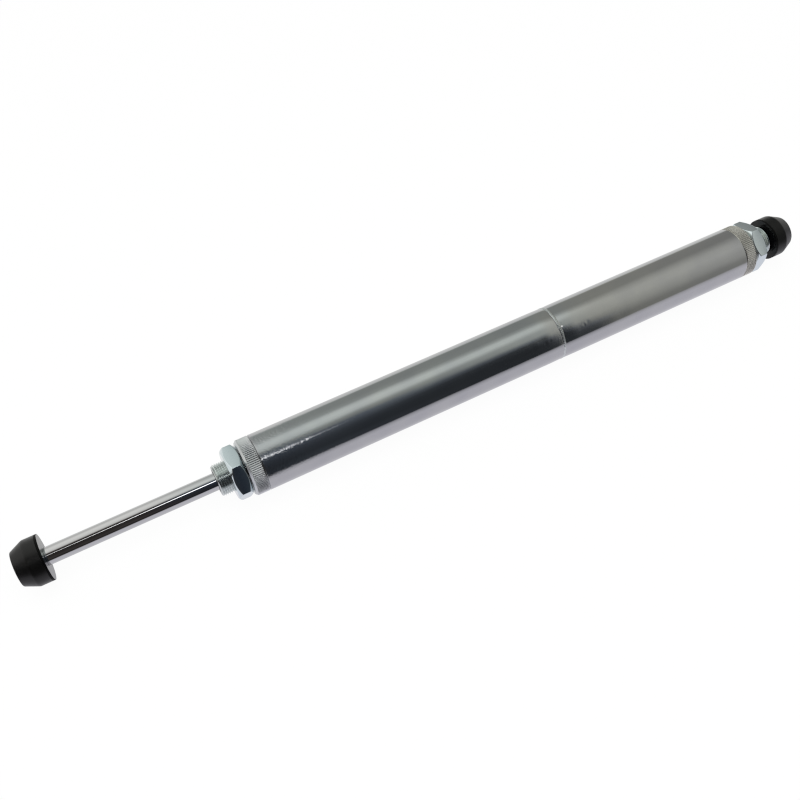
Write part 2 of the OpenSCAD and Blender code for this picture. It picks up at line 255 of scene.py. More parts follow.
def set_inputs(tree, node, inputs):
    for key, value in inputs.items():
        if isinstance(value, bpy.types.Node):
            value = next(socket for socket in value.outputs if socket.enabled)
        if isinstance(value, bpy.types.NodeSocket):
            tree.links.new(value, node.inputs[key])
        else:
            node.inputs[key].default_value = value


def add_node(tree, kind, inputs=None, **settings):
    node = tree.nodes.new(kind)
    for name, value in settings.items():
        setattr(node, name, value)
    set_inputs(tree, node, inputs or {})
    return node


def new_material(name):
    material = bpy.data.materials.new(name)
    material.use_nodes = True
    tree = material.node_tree
    tree.nodes.clear()
    surface = add_node(tree, "ShaderNodeBsdfPrincipled")
    add_node(tree, "ShaderNodeOutputMaterial", {"Surface": surface})
    return material, tree, surface


# %% [markdown]
# ## What all surfaces share
# No real surface has one even colour, roughness or height. Two functions give every
# material here its small unevenness: `tint_and_raise` blends two close tints by one pattern
# and raises another by a few micrometres, and `vary_roughness` lets the roughness follow a
# noise, whose values lie mostly between 0.3 and 0.7.

# %% Tint, relief and roughness
NOISE_LOW, NOISE_HIGH = 0.3, 0.7


def tint_and_raise(tree, surface, share, light, dark, height, relief_um):
    tint = add_node(tree, "ShaderNodeMix", {0: share, 6: linear(dark), 7: linear(light)},
                    data_type="RGBA")
    bump = add_node(tree, "ShaderNodeBump", {"Height": height, "Strength": 1.0,
                                             "Distance": relief_um * UM})
    set_inputs(tree, surface, {"Base Color": tint, "Normal": bump})


def vary_roughness(tree, surface, pattern, low, high):
    rough = add_node(tree, "ShaderNodeMapRange", {"Value": pattern, "From Min": NOISE_LOW,
                     "From Max": NOISE_HIGH, "To Min": low, "To Max": high})
    set_inputs(tree, surface, {"Roughness": rough})


# %% [markdown]
# ## What metals share
# A metal has hardly any colour of its own: it shows the room, dimmed by its tint and
# blurred by its roughness. `metal` mixes two close tints in soft clouds, varies the
# roughness with the grain, and raises the same grain. `grain_mm` is the size of that grain
# on the real surface. The `stretch` of the pattern along X, Y and Z draws it out into
# lines: below 1 is longer.

# %% A metal with clouds and grain
CLOUD_DETAIL, GRAIN_DETAIL = 2.0, 3.0


def metal(name, light, dark, roughness, spread, grain_mm, relief_um, stretch=(1, 1, 1),
          cloud_mm=12):
    material, tree, surface = new_material(name)
    place = add_node(tree, "ShaderNodeTexCoord").outputs["Object"]
    drawn = add_node(tree, "ShaderNodeMapping", {"Vector": place, "Scale": stretch})
    clouds = add_node(tree, "ShaderNodeTexNoise", {"Vector": place, "Scale": METRE / cloud_mm,
                                                   "Detail": CLOUD_DETAIL})
    grain = add_node(tree, "ShaderNodeTexNoise", {"Vector": drawn, "Scale": METRE / grain_mm,
                                                  "Detail": GRAIN_DETAIL})
    set_inputs(tree, surface, {"Metallic": 1.0})
    tint_and_raise(tree, surface, clouds, light, dark, grain, relief_um)
    vary_roughness(tree, surface, grain, roughness - spread, roughness + spread)
    return material, tree, surface


# %% [markdown]
# ## Zinc-plated steel tube
# The tubes are drawn steel with bright zinc plating: almost a mirror, but a soft one. Three
# things break the mirror. The wall isn't perfectly straight, so the edges of reflections
# wander. The first millimetres beside the collar are duller, where the tube was gripped.
# And the plating there is pitted and rubbed, which breaks a thin highlight into beads.
# A few shallow dents from handling are listed one by one.

# %% The tube's material
WAVE_MM, WAVE_UM, WAVE_DETAIL = 14, 50, 1.0
PIT_MM, PIT_UM, PIT_ROUGHNESS = 0.9, 58, 0.6
PIT_REACH, WELD_PIT_REACH = (12, 50), (1.5, 5)
WELD_PITS, FEWEST_PITS = 0.3, 0.06
GRIP_REACH, GRIP_DULLNESS = (1.0, 2.4), 0.06
# each dent: place along X in mm, angle in degrees, reach in mm, depth in micrometres
DENTS = [(250.8, 121, 2.2, 26), (252.6, 114, 1.8, 20), (160.0, 135, 1.3, 6), (162.6, 134, 1.2, 6),
         (181.8, 131, 1.2, 8), (183.8, 128, 1.5, 9), (36.0, 116, 0.9, 10), (38.2, 115, 0.7, 9),
         (51.0, 116, 1.0, 10), (52.8, 117, 0.8, 9)]


def near(tree, value, middle, core, reach):
    """1 where value lies within core of middle, falling to 0 at reach; all in millimetres."""
    off = add_node(tree, "ShaderNodeMath", {0: value, 1: middle * MM}, operation="SUBTRACT")
    away = add_node(tree, "ShaderNodeMath", {0: off}, operation="ABSOLUTE")
    return add_node(tree, "ShaderNodeMapRange", {
        "Value": away, "From Min": core * MM, "From Max": reach * MM, "To Min": 1.0, "To Max": 0.0
    }, interpolation_type="SMOOTHSTEP")


def raise_with(tree, surface, height, relief_um):
    """Slip one more bump under the ones that the surface already has."""
    bump = add_node(tree, "ShaderNodeBump", {"Height": height, "Strength": 1.0,
                                             "Distance": relief_um * UM})
    first = surface.inputs["Normal"].links[0].from_node
    while first.inputs["Normal"].is_linked:
        first = first.inputs["Normal"].links[0].from_node
    set_inputs(tree, first, {"Normal": bump})


def add_waves_and_pits(tree, surface, place, along):
    """A wavy wall, and pits beside the left collar and, fewer, beside the weld."""
    waves = add_node(tree, "ShaderNodeTexNoise", {"Vector": place, "Scale": METRE / WAVE_MM,
                                                  "Detail": WAVE_DETAIL})
    raise_with(tree, surface, waves, WAVE_UM)
    pits = add_node(tree, "ShaderNodeTexNoise", {
        "Vector": place, "Scale": METRE / PIT_MM,
        "Detail": GRAIN_DETAIL, "Roughness": PIT_ROUGHNESS})
    at_collar = near(tree, along, CYLINDER_X, *PIT_REACH)
    at_weld = near(tree, along, WELD_X, *WELD_PIT_REACH)
    fewer = add_node(tree, "ShaderNodeMath", {0: at_weld, 1: WELD_PITS}, operation="MULTIPLY")
    worn = add_node(tree, "ShaderNodeMath", {0: at_collar, 1: fewer}, operation="MAXIMUM")
    depth = add_node(tree, "ShaderNodeMapRange", {"Value": worn, "To Min": FEWEST_PITS})
    height = add_node(tree, "ShaderNodeMath", {0: pits, 1: depth}, operation="MULTIPLY")
    raise_with(tree, surface, height, PIT_UM)


def add_dents(tree, surface, place):
    for dent_x, degrees, reach, relief_um in DENTS:
        angle = math.radians(degrees)
        middle = (dent_x * MM, TUBE_R * MM * math.cos(angle), TUBE_R * MM * math.sin(angle))
        away = add_node(tree, "ShaderNodeVectorMath", {0: place, 1: middle}, operation="DISTANCE")
        hollow = add_node(tree, "ShaderNodeMapRange", {"Value": away, "From Max": reach * MM},
                          interpolation_type="SMOOTHSTEP")
        raise_with(tree, surface, hollow, relief_um)


def add_grip_mark(tree, surface, along):
    """Dull the first millimetres beside the left collar, where the tube was gripped."""
    gripped = near(tree, along, CYLINDER_X, *GRIP_REACH)
    dull = add_node(tree, "ShaderNodeMath", {0: gripped, 1: GRIP_DULLNESS}, operation="MULTIPLY")
    rough = surface.inputs["Roughness"].links[0].from_socket
    duller = add_node(tree, "ShaderNodeMath", {0: rough, 1: dull}, operation="ADD")
    set_inputs(tree, surface, {"Roughness": duller})


def add_scuffs(tree, surface):
    place = add_node(tree, "ShaderNodeTexCoord").outputs["Object"]
    along = add_node(tree, "ShaderNodeSeparateXYZ", {"Vector": place}).outputs["X"]
    add_waves_and_pits(tree, surface, place, along)
    add_dents(tree, surface, place)
    add_grip_mark(tree, surface, along)


zinc_tube, tube_tree, tube_surface = metal("zinc_plated_drawn_tube", "#bdbebd", "#adaeb2",
                                           0.078, 0.022, 0.5, 0.5, stretch=(0.15, 1, 1))
add_scuffs(tube_tree, tube_surface)
print("tube zinc with", len(DENTS), "dents")

# %% [markdown]
# ## Oil cylinder and extension tube
# Both tubes have the same outer diameter and meet at a weld. As weld metal cools it
# shrinks and draws the wall inwards, so each tube dips a little towards the seam. The dip
# is far too small to see as a shape, but on a mirror it bends every reflection, and that is
# what the eye takes for a weld. The outline gets a few more points there.

# %% Make the two tubes
CYLINDER_BORE_R = TUBE_R - 1.5
EXTENSION_BORE_R = TUBE_R - 2.5
TUBE_BEVEL = 0.3
TUBE_STEPS = 256
WELD_DEPTH = 1.0
WELD_HALF = (WELD_END_X - WELD_START_X) / 2
DIP_DEPTH = 0.13
DIP_REACH = 9.0
DIP_POINTS = 10


def dipped_radius(distance):
    """Radius of the wall at a distance from the middle of the seam."""
    return TUBE_R - DIP_DEPTH * (1 - distance / DIP_REACH) ** 2


def dipped_wall(side):
    """Points of a tube's outside from the end of the dip to the seam; side is -1 or 1."""
    steps = [i / DIP_POINTS for i in range(DIP_POINTS + 1)]
    reach = [DIP_REACH + (WELD_HALF - DIP_REACH) * s for s in steps]
    return [(WELD_X + side * d, dipped_radius(d)) for d in reach]


def tube(side, start_x, bore_r):
    outline = [(start_x, bore_r, TUBE_BEVEL), (start_x, TUBE_R, TUBE_BEVEL)] + dipped_wall(side)
    return turned(outline + [(WELD_X, TUBE_R - WELD_DEPTH), (WELD_X, bore_r)], steps=TUBE_STEPS)


finish_piece(tube(-1, CYLINDER_X, CYLINDER_BORE_R), "oil_cylinder", "housing",
             "cylinder_tube", zinc_tube)
finish_piece(tube(1, EXTENSION_END_X, EXTENSION_BORE_R), "dry_extension", "housing",
             "extension_tube", zinc_tube)

# %% [markdown]
# ## Weld bead
# The seam was laid by a machine in one turn, so it is narrow and almost even, with small
# ripples, one for each time that the pool of metal moved on and froze. The bead is a ring
# whose height follows the ripples and some noise, and whose middle line wanders by a
# fraction of a millimetre. One drop of zinc froze beside it; its plain white, non-metal
# tint is a painted glint.

# %% The weld's material and bead
RIPPLE_MM, RIPPLE_BEND = 0.9, 0.5
RIPPLE_HEIGHT = 0.035
LUMP_HEIGHT, LUMP_SCALE = 0.05, 0.8
BEAD_CROWN = 0.10
BEAD_STATIONS, BEAD_SEGMENTS = 41, 720
ROOT_SLOPE = 0.5
BEAD_WANDER, WANDER_SCALE = 0.25, 4
CROWN_SPREAD = 0.37
CROWN_HALF = 0.56
UNDERCUT_PLACE, UNDERCUT_SPREAD, UNDERCUT_DEPTH = -0.6, 0.13, 0.04
SPATTER_R = 0.46
SPATTER_X = WELD_X + 1.3
SPATTER_ANGLE = math.radians(116)

weld_metal, _, _ = metal("weld_metal_zinc_plated", "#e2e6e5", "#b4b9b8", 0.38, 0.10, 0.35, 12,
                         cloud_mm=1.2)
# The drop's white, non-metal tint is a painted glint, not the zinc's own colour.
glint_drop, _, glint_drop_surface = metal("zinc_drop_painted_glint", "#f2f4f4", "#e8eaea", 0.35, 0.05, 0.3, 4)
glint_drop_surface.inputs["Metallic"].default_value = 0.0


def bead_radius(across):
    """Height of the bead at a place across it, from -1 to 1, as a function of the angle."""
    ridge = math.exp(-(across / CROWN_SPREAD) ** 2)
    undercut = UNDERCUT_DEPTH * math.exp(-((across - UNDERCUT_PLACE) / UNDERCUT_SPREAD) ** 2)
    wall_r = dipped_radius(abs(across) * WELD_HALF)

    def radius(angle):
        round_seam = Vector((math.cos(angle), math.sin(angle), across * 0.15)) * TUBE_R
        lump = noise.noise(round_seam * LUMP_SCALE)
        ripple = math.sin((angle * TUBE_R + RIPPLE_BEND * across ** 2) * math.tau / RIPPLE_MM)
        height = BEAD_CROWN + RIPPLE_HEIGHT * ripple + LUMP_HEIGHT * lump
        return wall_r - undercut + ridge * height
    return radius


def bead_place(across):
    def place(angle):
        round_seam = Vector((math.cos(angle), math.sin(angle), 7)) * WANDER_SCALE
        wander = BEAD_WANDER * noise.noise(round_seam)
        return WELD_X + across * WELD_HALF + wander * (1 - across ** 2)
    return place


def weld_seam():
    """The ring of the seam; its crown is weld metal and its skirts are the tube's own zinc."""
    across = [2 * i / (BEAD_STATIONS - 1) - 1 for i in range(BEAD_STATIONS)]
    crown = [(bead_place(a), bead_radius(a)) for a in across]
    root_r = TUBE_R - WELD_DEPTH
    root = [(WELD_X + WELD_HALF, root_r + ROOT_SLOPE), (WELD_X, root_r),
            (WELD_X - WELD_HALF, root_r + ROOT_SLOPE)]
    bm = lofted(crown + root, BEAD_SEGMENTS)
    crown_x = bead_place(0)
    for face in bm.faces:
        middle = face.calc_center_median()
        away = abs(middle.x - crown_x(math.atan2(middle.z, middle.y)))
        face.material_index = 1 if away < CROWN_HALF else 0
    return bm


def spatter():
    """One drop of zinc beside the seam; its white, non-metal tint is a painted glint of light."""
    bm = bmesh.new()
    bmesh.ops.create_icosphere(bm, subdivisions=3, radius=SPATTER_R)
    out = TUBE_R - DIP_DEPTH
    place = (SPATTER_X, out * math.cos(SPATTER_ANGLE), out * math.sin(SPATTER_ANGLE))
    bmesh.ops.translate(bm, verts=bm.verts[:], vec=place)
    return with_material(bm, 2)


finish_piece(joined(weld_seam(), spatter()), "weld_seam", "housing", "weld_bead",
             [zinc_tube, weld_metal, glint_drop])

# %% [markdown]
# ## End caps
# Each end cap is one turned piece: a knurled collar as wide as the tube, a threaded nose
# that a bracket is clamped on, and a spigot inside the tube. The right cap is the left one
# turned round, so both are built in their own coordinates, measured inwards from the
# front of the collar, and then put in place. The knurl and the thread are shells of their
# own that lie on the turned body, because that keeps each of them simple. A turned groove
# borders the collar beside the tube: deep on the left cap, a mere scratch on the right.

# %% Sizes of an end cap
NUT_GAP = 0.4
LEFT_NUT_X = span("left_lock_nut")
RIGHT_NUT_X = span("right_lock_nut")
LEFT_SHOULDER_X = LEFT_NUT_X[1] + NUT_GAP
RIGHT_SHOULDER_X = RIGHT_NUT_X[0] - NUT_GAP
NUT_H = LEFT_NUT_X[1] - LEFT_NUT_X[0]
NOSE_LEN = LEFT_SHOULDER_X - span("left_end_cap")[0]
NOSE_R, NOSE_CHAMFER = 7.5, 0.8
PITCH = 1.0
ROOT_R = NOSE_R - 0.613 * PITCH
CORE_R = ROOT_R - 0.1
COLLAR_LEN = CYLINDER_X - LEFT_SHOULDER_X
COLLAR_CHAMFER = 1.0
COLLAR_LAND = 0.5
BORDER = 0.45
LEFT_BORDER_DEPTH, RIGHT_BORDER_DEPTH = 0.9, 0.25
KNURL_TEETH = 90
KNURL_DEPTH = 0.28
KNURL_R = TUBE_R - 0.05
KNURL_SEAT_R = KNURL_R - KNURL_DEPTH - 0.2
CAP_END = span("left_end_cap")[1] - LEFT_SHOULDER_X
BORE_CLEARANCE = 0.02
RING_X, RING_HALF, RING_DEPTH = CAP_END - 3.0, 1.04, 1.62
WIPER_R, WIPER_END = ROD_R + 1.54, -NOSE_LEN + 2.4
BUSH_R, BUSH_START, BUSH_END = ROD_R + 1.04, -NOSE_LEN + 3.9, -NOSE_LEN + 3.9 + 14.0
ROD_HOLE_R, SEAL_R = ROD_R + 0.3, ROD_R + 3.04
print(f"collar {COLLAR_LEN:.1f} mm, nose {NOSE_LEN:.1f} mm, spigot ends at {CAP_END:.1f} mm")


# %% The turned body of an end cap
def cap_body(bore_r, border_depth):
    spigot_r, ring_r = bore_r - BORE_CLEARANCE, bore_r - RING_DEPTH
    knurl_end, border_x = COLLAR_LEN - COLLAR_LAND, COLLAR_LEN - BORDER
    nose = [(-NOSE_LEN, WIPER_R, 0.15), (-NOSE_LEN, NOSE_R - NOSE_CHAMFER - 0.05),
            (-NOSE_LEN + 0.2, CORE_R), (-NUT_GAP, CORE_R), (0, CORE_R)]
    collar = [(0, TUBE_R - COLLAR_CHAMFER, 0.12), (COLLAR_CHAMFER, TUBE_R, 0.08),
              (COLLAR_CHAMFER + 0.12, KNURL_SEAT_R), (knurl_end - 0.12, KNURL_SEAT_R),
              (knurl_end, TUBE_R, 0.05), (border_x, TUBE_R, 0.05),
              (border_x, TUBE_R - border_depth), (COLLAR_LEN, TUBE_R - border_depth - 0.1)]
    spigot = [(COLLAR_LEN, spigot_r), (RING_X - RING_HALF, spigot_r), (RING_X - RING_HALF, ring_r),
              (RING_X + RING_HALF, ring_r), (RING_X + RING_HALF, spigot_r),
              (CAP_END, spigot_r, TUBE_BEVEL)]
    bore = [(CAP_END, SEAL_R), (BUSH_END, SEAL_R), (BUSH_END, BUSH_R), (BUSH_START, BUSH_R),
            (BUSH_START, ROD_HOLE_R), (WIPER_END, ROD_HOLE_R), (WIPER_END, WIPER_R)]
    return turned(nose + collar + spigot + bore)


# %% [markdown]
# ## Knurl
# A straight knurl is pressed into the collar by a toothed wheel. It leaves ridges with
# rounded tops that are a little lower at both ends, where the wheel ran in and out. So the
# tooth height is a cosine of the angle, times a depth that is full from the second station
# to the last but one. The shell stops just short of the collar's edges.

# %% The knurled shell
RUN_IN, RUN_IN_DEPTH = 0.1, 0.8
KNURL_STATIONS = 3
POINTS_PER_TOOTH = 10
EDGE_GAP, KNURL_SHELL_T = 0.05, 0.4


def knurl_shell():
    start, end = COLLAR_CHAMFER + EDGE_GAP, COLLAR_LEN - COLLAR_LAND - EDGE_GAP
    middle_len = end - start - 2 * RUN_IN

    def ridge(depth):
        def radius(angle):
            wave = 0.5 + 0.5 * math.cos(KNURL_TEETH * angle)
            return KNURL_R - depth * KNURL_DEPTH * (1 - wave)
        return radius

    stations = [(start, KNURL_SEAT_R), (start, ridge(RUN_IN_DEPTH))]
    stations += [(start + RUN_IN + middle_len * i / KNURL_STATIONS, ridge(1))
                 for i in range(KNURL_STATIONS + 1)]
    stations += [(end, ridge(RUN_IN_DEPTH)), (end, KNURL_SEAT_R),
                 (end, KNURL_SEAT_R - KNURL_SHELL_T), (start, KNURL_SEAT_R - KNURL_SHELL_T)]
    return lofted(stations, POINTS_PER_TOOTH * KNURL_TEETH)


# %% [markdown]
# ## Thread
# A screw thread is one V-shaped ridge that climbs by its pitch at each turn. The spin
# operator makes exactly that when each of its steps also shifts the outline along the
# axis. The ridge starts before the nose and ends after it, two cuts trim it to length, and
# the last turns are worn down to the cone of the chamfer, as a die or a lathe leaves them.
# `hand` is 1 for a right-hand thread that is not mirrored afterwards.

# %% The threaded shell
THREAD_STEPS = 72
THREAD_START, THREAD_END = -NOSE_LEN + 0.02, -NUT_GAP - NUT_H + 0.9
THREAD_SHELL_T = 0.35
CREST_R = NOSE_R - 0.02
# one pitch of the ridge: place as a share of the pitch, and radius
THREAD_RIDGE = [(0.125, ROOT_R), (0.44, CREST_R), (0.56, CREST_R), (0.875, ROOT_R), (1.125, ROOT_R)]


def thread_shell(hand):
    turns = math.ceil((THREAD_END - THREAD_START) / PITCH) + 3
    first = THREAD_START - 1.5 * PITCH if hand > 0 else THREAD_END + 0.5 * PITCH
    bm = bmesh.new()
    verts = [bm.verts.new((first + place * PITCH, r, 0)) for place, r in THREAD_RIDGE]
    for a, b in zip(verts, verts[1:]):
        bm.edges.new((a, b))
    bmesh.ops.spin(bm, geom=bm.verts[:] + bm.edges[:], cent=(0, 0, 0), axis=(1, 0, 0),
                   dvec=(hand * PITCH / THREAD_STEPS, 0, 0), angle=math.tau * turns,
                   steps=THREAD_STEPS * turns)
    bmesh.ops.remove_doubles(bm, verts=bm.verts[:], dist=1e-3)
    for x, side in ((THREAD_START, -1), (THREAD_END, 1)):
        bmesh.ops.bisect_plane(bm, geom=bm.verts[:] + bm.edges[:] + bm.faces[:], dist=1e-5,
                               plane_co=(x, 0, 0), plane_no=(side, 0, 0), clear_outer=True)
    for v in bm.verts:
        cone = NOSE_R - NOSE_CHAMFER + (v.co.x - THREAD_START)
        r = math.hypot(v.co.y, v.co.z)
        if r > cone:
            v.co.yz = v.co.yz * (cone / r)
    rim = [e for e in bm.edges if e.is_boundary]
    made = bmesh.ops.extrude_edge_only(bm, edges=rim)["geom"]
    for v in [g for g in made if isinstance(g, bmesh.types.BMVert)]:
        v.co.yz = v.co.yz.normalized() * (ROOT_R - THREAD_SHELL_T)
    bmesh.ops.remove_doubles(bm, verts=bm.verts[:], dist=1e-3)
    inner = [e for e in bm.edges if e.is_boundary]
    bmesh.ops.bridge_loops(bm, edges=inner)
    return bm


# %% [markdown]
# ## Finish of the end caps
# The caps are machined steel with a thin zinc plating: clear on the left cap, and passivated
# a little yellower on the right one, which came from another bath. Fine turning marks run
# round them, so their reflections are much softer than the tube's. The marks are noise that
# is squeezed along the axis, a few hundredths of a millimetre apart on the real piece and
# drawn at a tenth here so that they show. Knurls and threads get painted shade in their
# grooves, darkest at the bottom, and the knurl's zinc is a lighter tint than the body's.
# Distance from the axis tells groove from ridge.

# %% Make both end caps
TURNED = dict(spread=0.04, grain_mm=0.25, relief_um=1.0, stretch=(2.5, 0.6, 0.6))
KNURL_ROUGHER = 0.1
# Painted shade in the grooves: where it stops below the crests, and how dark the thread's gets.
KNURL_UNSHADED_SHARE = 0.4
THREAD_GROOVE_SHADE, THREAD_UNSHADED_MM = 0.68, 0.2


def from_axis(tree, place):
    """Distance of a point from the damper's axis, in metres."""
    axes = add_node(tree, "ShaderNodeSeparateXYZ", {"Vector": place}).outputs
    beside = add_node(tree, "ShaderNodeCombineXYZ", {"Y": axes["Y"], "Z": axes["Z"]})
    return add_node(tree, "ShaderNodeVectorMath", {0: beside}, operation="LENGTH")


def darken_grooves(tree, surface, bottom_r, top_r, darkest):
    """Painted shade in the grooves: the tint falls towards their bottom."""
    place = add_node(tree, "ShaderNodeTexCoord").outputs["Object"]
    shade_factor = add_node(tree, "ShaderNodeMapRange", {
        "Value": from_axis(tree, place), "From Min": bottom_r * MM, "From Max": top_r * MM,
        "To Min": darkest})
    tint = surface.inputs["Base Color"].links[0].from_socket
    dimmed = add_node(tree, "ShaderNodeMix", {0: 1.0, 6: tint, 7: shade_factor}, data_type="RGBA",
                      blend_type="MULTIPLY")
    set_inputs(tree, surface, {"Base Color": dimmed})


def zinc_finishes(name, ridges, light, dark, roughness, shade_in_grooves):
    """The turned body's zinc, and the knurl's: a lighter tint, with painted shade in its grooves.
    """
    turned_zinc, _, _ = metal("zinc_" + name, light, dark, roughness, **TURNED)
    knurled_zinc, tree, surface = metal("zinc_knurl_" + name, ridges, light,
                                        roughness + KNURL_ROUGHER, **TURNED)
    darken_grooves(tree, surface, KNURL_R - KNURL_DEPTH, KNURL_R - KNURL_UNSHADED_SHARE * KNURL_DEPTH, shade_in_grooves)
    return turned_zinc, knurled_zinc


def put_at_left(bm):
    bmesh.ops.translate(bm, vec=(LEFT_SHOULDER_X, 0, 0), verts=bm.verts[:])
    return bm


def put_at_right(bm):
    bmesh.ops.scale(bm, vec=(-1, 1, 1), verts=bm.verts[:])
    bmesh.ops.translate(bm, vec=(RIGHT_SHOULDER_X, 0, 0), verts=bm.verts[:])
    return bm


def end_cap(bore_r, hand, border_depth):
    return joined(cap_body(bore_r, border_depth), with_material(knurl_shell(), 2),
                  with_material(thread_shell(hand), 1))


# The last number is how dark the painted shade gets at the bottom of the knurl's grooves.
zinc_clear, knurl_clear = zinc_finishes("clear", "#eef0f1", "#d3d6d7", "#c6c9ca", 0.27, 0.87)
zinc_yellowish, knurl_yellowish = zinc_finishes("yellowish", "#e8e6df", "#d8d6cf", "#cac8c0",
                                                0.35, 0.94)
zinc_thread, thread_tree, thread_surface = metal("zinc_cut_thread", "#ecf1f0", "#e1e8e6",
                                                 0.22, 0.03, 0.8, 0.3)
# Painted shade at the bottom of the thread's grooves.
darken_grooves(thread_tree, thread_surface, ROOT_R, NOSE_R - THREAD_UNSHADED_MM, THREAD_GROOVE_SHADE)

finish_piece(put_at_left(end_cap(CYLINDER_BORE_R, 1, LEFT_BORDER_DEPTH)),
             "left_cap", "housing", "left_end_cap",
             [zinc_clear, zinc_thread, knurl_clear])
finish_piece(put_at_right(end_cap(EXTENSION_BORE_R, -1, RIGHT_BORDER_DEPTH)),
             "right_cap", "housing", "right_end_cap",
             [zinc_yellowish, zinc_thread, knurl_yellowish])

# %% [markdown]
# ## Lock nuts
# A lock nut is a slice of hexagon bar whose corners are cut back by a cone on both faces.
# Where the cone meets a flat side the edge is a bow: low in the middle of the side, deep
# at the corners. The ring of the loft follows that bow, because its distance from the
# face is a function of the angle: as far as the hexagon sticks out of the cone's mouth,
# times the tangent of the chamfer's angle.

# %% Make both lock nuts
NUT_FLATS = 23.0
NUT_FACE_R = NUT_FLATS / 2 * 0.95
NUT_HOLE_R = NOSE_R - 0.31
NUT_MOUTH = 0.5
NUT_CHAMFER = math.radians(35)
NUT_SEGMENTS = 96
NUT_EDGE, NUT_EDGE_BEND = 0.2, 14
LEFT_NUT_TURN = math.radians(20 - 90)
RIGHT_NUT_TURN = math.radians(4 - 90)

zinc_nut, _, _ = metal("zinc_plated_nut_blue_passivated", "#dbe5e8", "#d1dce0", 0.10, 0.03,
                       0.6, 0.5)


def lock_nut(turn):
    def hexagon(angle):
        return NUT_FLATS / 2 / math.cos(angle % math.radians(60) - math.radians(30))

    def bow(angle):
        return (hexagon(angle) - NUT_FACE_R) * math.tan(NUT_CHAMFER)

    bm = lofted([
        (NUT_MOUTH, NUT_HOLE_R), (0, NUT_HOLE_R + NUT_MOUTH), (0, NUT_FACE_R),
        (bow, hexagon), (lambda angle: NUT_H - bow(angle), hexagon),
        (NUT_H, NUT_FACE_R), (NUT_H, NUT_HOLE_R + NUT_MOUTH), (NUT_H - NUT_MOUTH, NUT_HOLE_R)
    ], NUT_SEGMENTS)
    soften(bm, NUT_EDGE, NUT_EDGE_BEND)
    bmesh.ops.rotate(bm, cent=(0, 0, 0), matrix=Matrix.Rotation(turn, 3, "X"), verts=bm.verts[:])
    bmesh.ops.translate(bm, vec=(-NUT_GAP - NUT_H, 0, 0), verts=bm.verts[:])
    return bm


finish_piece(put_at_left(lock_nut(LEFT_NUT_TURN)), "left_nut", "housing",
             "left_lock_nut", zinc_nut)
finish_piece(put_at_right(lock_nut(RIGHT_NUT_TURN)), "right_nut", "housing",
             "right_lock_nut", zinc_nut)

# %% [markdown]
# ## Chromed rod
# Piston rods are ground, hard-chromed and polished, because the seals run on them. Chrome
# is the sharpest mirror here: its roughness is very low, and only a trace of polishing
# marks runs round it. The stub at each end carries a buffer.

# %% Make the rod
STUB_R = 3.0
STUB_LEN = 5.5
STUB_BEVEL, SHOULDER_BEVEL = 0.3, 0.08
ROD_START_X, ROD_END_X = span("piston_rod")
PISTON_START_X, PISTON_END_X = span("piston")
CLIP_GROOVE, CLIP_GROOVE_R = 1.0, ROD_R - 0.5

chrome, _, _ = metal("hard_chrome_polished", "#c5c6c6", "#c2c3c4", 0.06, 0.015, 0.3, 0.12,
                     stretch=(3, 1, 1))


def groove_corners(start, end):
    """A groove for a clip: down, along and up again."""
    return [(start, ROD_R), (start, CLIP_GROOVE_R), (end, CLIP_GROOVE_R), (end, ROD_R)]


def rod():
    left, right = ROD_START_X + STUB_LEN, ROD_END_X - STUB_LEN
    left_stub = [(ROD_START_X, 0), (ROD_START_X, STUB_R, STUB_BEVEL), (left, STUB_R),
                 (left, ROD_R, SHOULDER_BEVEL)]
    right_stub = [(right, ROD_R, SHOULDER_BEVEL), (right, STUB_R),
                  (ROD_END_X, STUB_R, STUB_BEVEL), (ROD_END_X, 0)]
    grooves = (groove_corners(PISTON_START_X - CLIP_GROOVE, PISTON_START_X)
               + groove_corners(PISTON_END_X, PISTON_END_X + CLIP_GROOVE))
    return turned(left_stub + grooves + right_stub, ring=False)


finish_piece(rod(), "chromed_shaft", "rod", "piston_rod", chrome)

# %% [markdown]
# ## Buffers
# Each buffer is a steel plate with a threaded bush, and rubber moulded round the bush. The
# plate is turned, so fine rings show on it. The rubber is a short cylinder that narrows to
# a flat front, with soft edges from the mould, and its skin runs over the plate's rim. Both
# are drawn outwards from the back of the plate, once for each end.

# %% Shapes of a buffer
PLATE_T = 1.0
PLATE_EDGE, RIM_T = 0.12, 0.15
INSERT_R = 5.5
INSERT_LEN = 5.0
STRAIGHT_LEN = 5.4
TAPER_LEN = 6.0
FRONT_R = 7.7
BACK_EDGE, BELT_EDGE, FRONT_EDGE = 0.15, 0.5, 0.4
LEFT_PLATE_X = span("left_buffer_plate")[1]
RIGHT_PLATE_X = span("right_buffer_plate")[0]


def plate():
    hole_r = STUB_R + BORE_CLEARANCE
    bm = turned([
        (0, hole_r), (0, BUFFER_R, PLATE_EDGE), (PLATE_T, BUFFER_R, PLATE_EDGE),
        (PLATE_T, INSERT_R), (PLATE_T + INSERT_LEN, INSERT_R), (PLATE_T + INSERT_LEN, hole_r)
    ])
    for face in bm.faces:
        middle = face.calc_center_median()
        face.material_index = 1 if math.hypot(middle.y, middle.z) > BUFFER_R - RIM_T else 0
    return bm


def rubber():
    straight_end = PLATE_T + STRAIGHT_LEN
    front = straight_end + TAPER_LEN
    return turned([
        (PLATE_T + INSERT_LEN, 0), (PLATE_T + INSERT_LEN, INSERT_R), (PLATE_T, INSERT_R),
        (PLATE_T, BUFFER_R, BACK_EDGE), (straight_end, BUFFER_R, BELT_EDGE),
        (front, FRONT_R, FRONT_EDGE), (front, 0)
    ], ring=False)


